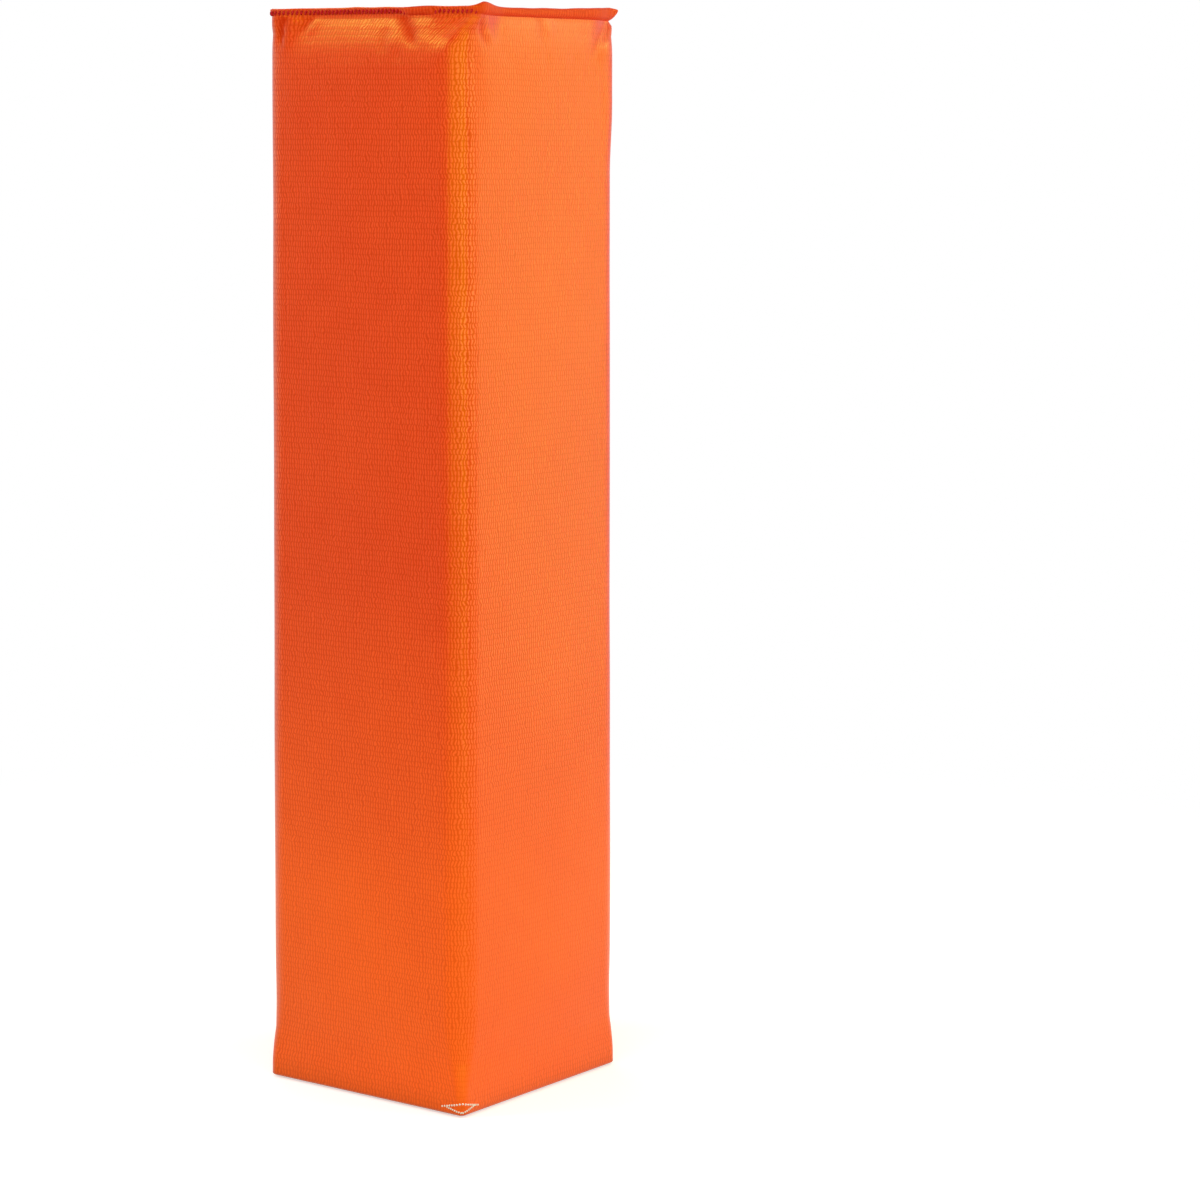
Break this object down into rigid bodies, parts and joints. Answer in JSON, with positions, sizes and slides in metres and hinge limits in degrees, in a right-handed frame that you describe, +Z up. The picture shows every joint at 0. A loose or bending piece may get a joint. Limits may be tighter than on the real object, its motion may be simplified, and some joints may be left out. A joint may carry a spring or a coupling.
{
  "type": "football end zone pylon",
  "caption": "Tall square soft marker with a sewn coated-fabric cover, a foam core and sand ballast in the base, behind a lapped pocket closure.",
  "frame": {"origin": "middle of the base, on the ground", "axes": "+Z up along the pylon; +X out of the wall that runs on below as the closure flap; -Y out of the wall whose lower edge is sewn to the base, on the left in the picture"},
  "size_m": [0.1102, 0.1102, 0.4573],
  "materials": {
    "cover_fabric": "satin",
    "sewing_thread": "matte",
    "core_foam": "matte",
    "ballast_cloth": "matte",
    "ballast_sand": "matte"
  },
  "bodies": {
    "pylon": {"cover_wrap": "cover_fabric", "top_panel": "cover_fabric", "foam_core": "core_foam", "ballast_bag_upper": "ballast_cloth", "ballast_bag_lower": "ballast_cloth", "ballast_fill": "ballast_sand", "top_seam_thread": "sewing_thread", "base_seam_thread_front": "sewing_thread", "base_seam_thread_back": "sewing_thread", "inner_flap_hem_thread": "sewing_thread", "wrap_seam_thread": "sewing_thread", "ballast_bag_thread": "ballast_cloth"},
    "closure_flap": {"closure_flap": "cover_fabric", "closure_hem_thread": "sewing_thread"}
  },
  "joints": [
    {"name": "closure_flap_hinge", "type": "hinge", "parent": "pylon", "child": "closure_flap", "pos_m": [0.0502, 0, 0], "axis": [0, -1, 0], "range_deg": [0, 20], "stiffness_Nm_per_rad": 0.02, "springref_deg": -11.46}
  ]
}
